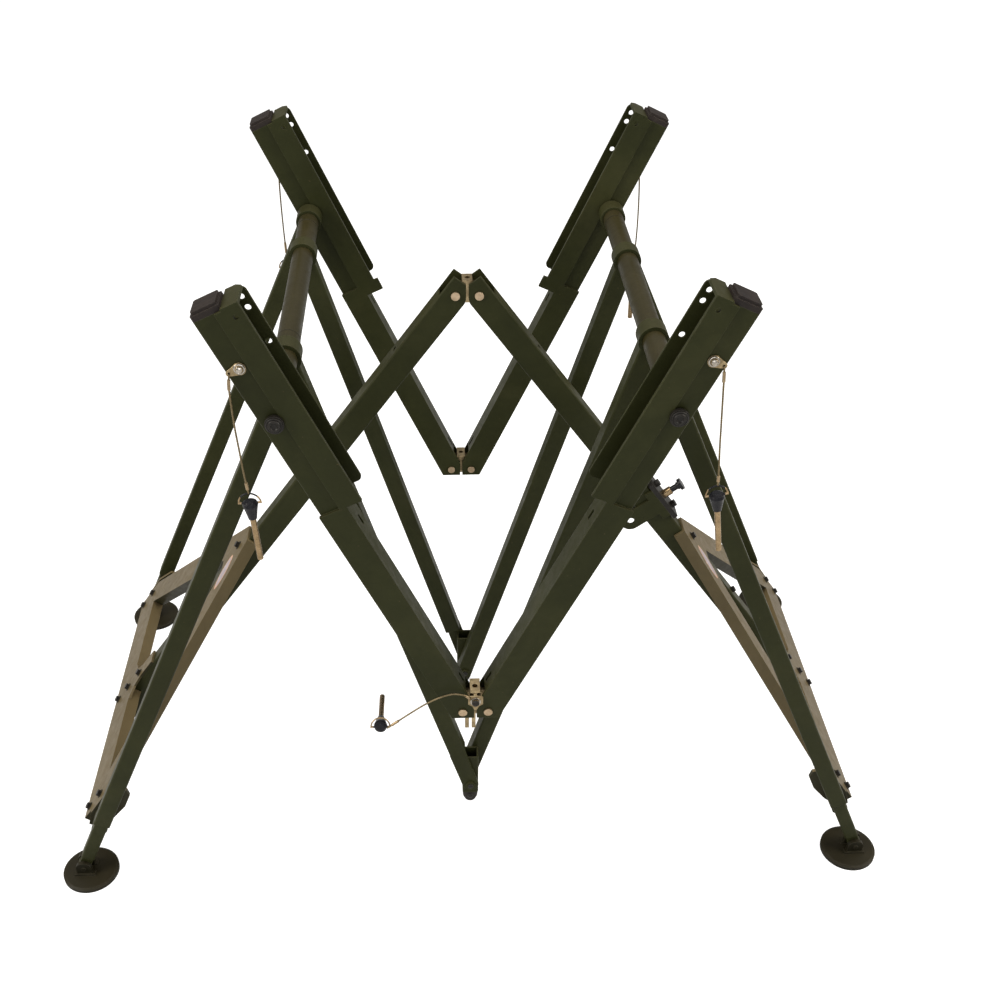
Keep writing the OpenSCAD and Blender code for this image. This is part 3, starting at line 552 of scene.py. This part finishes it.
# Small fittings: profiles are (radius, height) in millimetres
EYELET_RIM = [(4.4, 0), (7.0, 0), (7.2, 0.4), (6.6, 1.0), (5.4, 1.2), (4.6, 0.8), (4.4, 0.4)]
EYELET_BOLT = [(0, 1.9), (3.6, 1.9), (3.9, 2.1), (3.6, 3.2), (2.2, 3.9), (0, 4.1)]
CAP_STEP = [(3.4, -0.3), (7.6, -0.3), (8.2, 0.5), (7.4, 1.7), (5.0, 2.1), (4.0, 1.2), (3.4, 0.2)]
CAP_RIM = [(8.9, -1.2), (10.6, -1.2), (10.7, -0.4), (10.2, 0.35), (9.3, 0.35), (8.9, -0.2)]
HINGE_BOLT = [(0, -0.4), (5.2, -0.4), (5.6, 0.3), (5.2, 1.6), (3.8, 2.7), (1.8, 3.3), (0, 3.4)]
HINGE_WASHER = [(5.1, 0.0), (8.0, 0.0), (8.2, 0.4), (7.6, 1.0), (5.3, 1.0), (5.1, 0.6)]
CENTRE_BOLT = [(0, -1.0), (4.6, -1.0), (5.0, 0.6), (4.4, 1.8), (2.6, 2.5), (0, 2.7)]
SEAM_BEAD = [(15.6, -0.8), (16.15, -0.6), (16.25, 0), (16.15, 0.6), (15.6, 0.8)]
FRAME_WASHER = [(3.2, 0), (7.6, 0), (7.7, 0.3), (7.2, 0.9), (3.2, 0.9)]

# Frame bolts as (y, s) on the strut's frame; s is the way down along the strut
FRAME_BOLTS = ((-8, 582), (-8, 941), (-8, 985), (-8, 1024), (-267, 985), (-267, 1024), (267, 985),
               (267, 1024))
STRUT_FACE = 23
LABEL_S, LABEL_Y = 626.0, -36.0
LABEL_LONG, LABEL_WIDE = 33, 13.5
ARM_RUN_Y, ARM_RUN_S = 265, 394


def add_piece(name, bm, mat, body):
    obj = new_obj(name, bm, mat)
    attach(obj, body)


def eyelet(end, sd, sg, y, d):
    """Plated eyelet on a lanyard tab."""
    bm = bmesh.new()
    for profile in (EYELET_RIM, EYELET_BOLT):
        lathe_into(bm, profile, rail_pt(sg, TAB_U, -1, y), (0, d, 0))
    add_piece("eyelet_%s_%s" % (end, sd), bm, CHROME, "rail_%s_%s" % (end, sd))


def cap_relief(sd, sg):
    """Stepped relief on the axle's end caps."""
    bm = bmesh.new()
    lo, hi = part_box("axle_caps_" + sd)
    for y, d in ((lo[1], -1), (hi[1], 1)):
        o = v3(sg * AXLE_X, 0, AXLE_Z) + Vector((0, y, 0))
        lathe_into(bm, CAP_STEP, o, (0, d, 0))
        lathe_into(bm, CAP_RIM, o, (0, d, 0), 40)
    add_piece("cap_relief_" + sd, bm, BLACK_STEEL, "inner_" + sd)


def hinge_bolt():
    """Dark domed bolt on the front hinge's plate, with a bright washer under it."""
    for name, profile, out, mat, slot in (("hinge_bolt", HINGE_BOLT, 5, BLACK_STEEL, "black_steel"),
                                          ("hinge_washer", HINGE_WASHER, 2, CHROME, "bright_steel")):
        bm = bmesh.new()
        lathe_into(bm, profile, v3(0, PLATE_Y - out, PLATE_Z), (0, -1, 0))
        add_piece(name, bm, mat, "hinge_front")


def centre_bolts(end):
    """Polished bolt heads on a centre foot's pivot and on its rubber tip."""
    bm = bmesh.new()
    for node, z in (("centre_foot_", 57), ("centre_tip_", 20)):
        lo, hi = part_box(node + end)
        for y, d in ((lo[1], -1), (hi[1], 1)):
            lathe_into(bm, CENTRE_BOLT, v3(0, 0, z) + Vector((0, y, 0)), (0, d, 0))
    add_piece("centre_bolts_" + end, bm, BLACK_STEEL, "centre_" + end)


def seam_ring(sd, sg, y):
    """Dark seam round an axle."""
    bm = bmesh.new()
    lathe_into(bm, SEAM_BEAD, v3(sg * AXLE_X, y, AXLE_Z), (0, 1, 0), 48)
    name = "seam_%s_%s" % (sd, "front" if y < 0 else "rear")
    add_piece(name, bm, SEAM, "inner_" + sd)


def washers(sd, sg):
    """Plain washers under the frame's bolt heads."""
    bm = bmesh.new()
    outward = frame_axes(sg) @ Vector((1, 0, 0))
    for y, s in FRAME_BOLTS:
        lathe_into(bm, FRAME_WASHER, frame_pt(sg, s, y, STRUT_FACE), outward, 28)
    add_piece("washers_" + sd, bm, OLIVE_FEET, "frame_" + sd)


def label(sd, sg):
    """A bare oval label on the front arm of the brace: a pale rim and a plain face."""
    along = math.atan2(-ARM_RUN_S, -ARM_RUN_Y)
    for tag, grow, n0, t, mat in (("rim", 1.0, 23.02, 0.25, LABEL_RIM), ("face", 0.84, 23.2, 0.22, LABEL)):
        bm = bmesh.new()
        pts = []
        for i in range(40):
            a = 2 * math.pi * i / 40
            p = LABEL_LONG * grow * math.cos(a)
            q = LABEL_WIDE * grow * math.sin(a) * (0.72 + 0.28 * abs(math.sin(a)))
            pts.append((p * math.cos(along) - q * math.sin(along), p * math.sin(along) + q * math.cos(along)))
        plate_into(bm, pts, frame_axes(sg), frame_pt(sg, LABEL_S, LABEL_Y, n0), t, 0.06)
        add_piece("label_%s_%s" % (tag, sd), bm, mat, "frame_" + sd)


for sd, sg in SIDES:
    for y in SEAMS_Y:
        seam_ring(sd, sg, y)
    washers(sd, sg)
    cap_relief(sd, sg)
    label(sd, sg)
    for end, row_y, d in ENDS:
        eyelet(end, sd, sg, row_y + d * EYELET_OUT, d)
hinge_bolt()
for end, row_y, d in ENDS:
    centre_bolts(end)


# Stage and light
def make_floor():
    """A pale floor that reads as white to the camera and still takes the object's shadow."""
    me = bpy.data.meshes.new("floor")
    half, drop = 14.0, -0.0005
    corners = [(-half, -half, drop), (half, -half, drop), (half, half, drop), (-half, half, drop)]
    me.from_pydata(corners, [], [(0, 1, 2, 3)])
    floor = bpy.data.objects.new("floor", me)
    bpy.context.collection.objects.link(floor)
    mat = bpy.data.materials.new("floor_white")
    nt, out = blank(mat, "ShaderNodeOutputMaterial")
    dif = nt.nodes.new("ShaderNodeBsdfDiffuse")
    dif.inputs[0].default_value = grey(0.50)
    em = nt.nodes.new("ShaderNodeEmission")
    lp = nt.nodes.new("ShaderNodeLightPath")
    glossy = maths(nt, "MULTIPLY", lp.outputs["Is Glossy Ray"], 0.25)
    other = maths(nt, "MAXIMUM", glossy, lp.outputs["Is Transmission Ray"])
    seen = maths(nt, "MAXIMUM", lp.outputs["Is Camera Ray"], other)
    nt.links.new(maths(nt, "MULTIPLY", seen, 0.87), em.inputs["Strength"])
    add = nt.nodes.new("ShaderNodeAddShader")
    nt.links.new(dif.outputs[0], add.inputs[0])
    nt.links.new(em.outputs[0], add.inputs[1])
    nt.links.new(add.outputs[0], out.inputs[0])
    me.materials.append(mat)


def make_world():
    """Low even light all round, and a white backdrop to the camera."""
    world = bpy.data.worlds.new("studio")
    bpy.context.scene.world = world
    nt, out = blank(world, "ShaderNodeOutputWorld")
    bg = nt.nodes.new("ShaderNodeBackground")
    lp = nt.nodes.new("ShaderNodeLightPath")
    seen = maths(nt, "MAXIMUM", lp.outputs["Is Camera Ray"], lp.outputs["Is Transmission Ray"])
    strength = maths(nt, "ADD", 0.26, maths(nt, "MULTIPLY", seen, 0.76))
    nt.links.new(strength, bg.inputs["Strength"])
    bg.inputs["Color"].default_value = grey(1)
    nt.links.new(bg.outputs[0], out.inputs[0])


def area(name, loc, size, power, color):
    """A rectangular lamp in metres and watts that looks at the middle of the stand."""
    light = bpy.data.lights.new(name, "AREA")
    light.shape = "RECTANGLE"
    light.size, light.size_y = size
    light.energy = power
    light.color = color
    obj = bpy.data.objects.new(name, light)
    obj.location = loc
    obj.rotation_euler = (Vector((0, 0, 0.5)) - Vector(loc)).to_track_quat("-Z", "Y").to_euler()
    bpy.context.collection.objects.link(obj)


make_floor()
make_world()
area("left_soft", (-3.2, -1.2, 2.6), (1.6, 2.4), 105, (1.0, 0.95, 0.86))
area("right_soft", (3.2, -0.8, 2.5), (1.6, 2.4), 88, (1.0, 0.94, 0.84))
area("top_soft", (0, 0.6, 3.6), (2.6, 2.6), 70, (1.0, 0.97, 0.92))
area("front_fill", (0.0, -3.6, 1.6), (2.4, 1.6), 30, (0.98, 0.98, 1.0))

bpy.context.scene.view_settings.view_transform = "Standard"
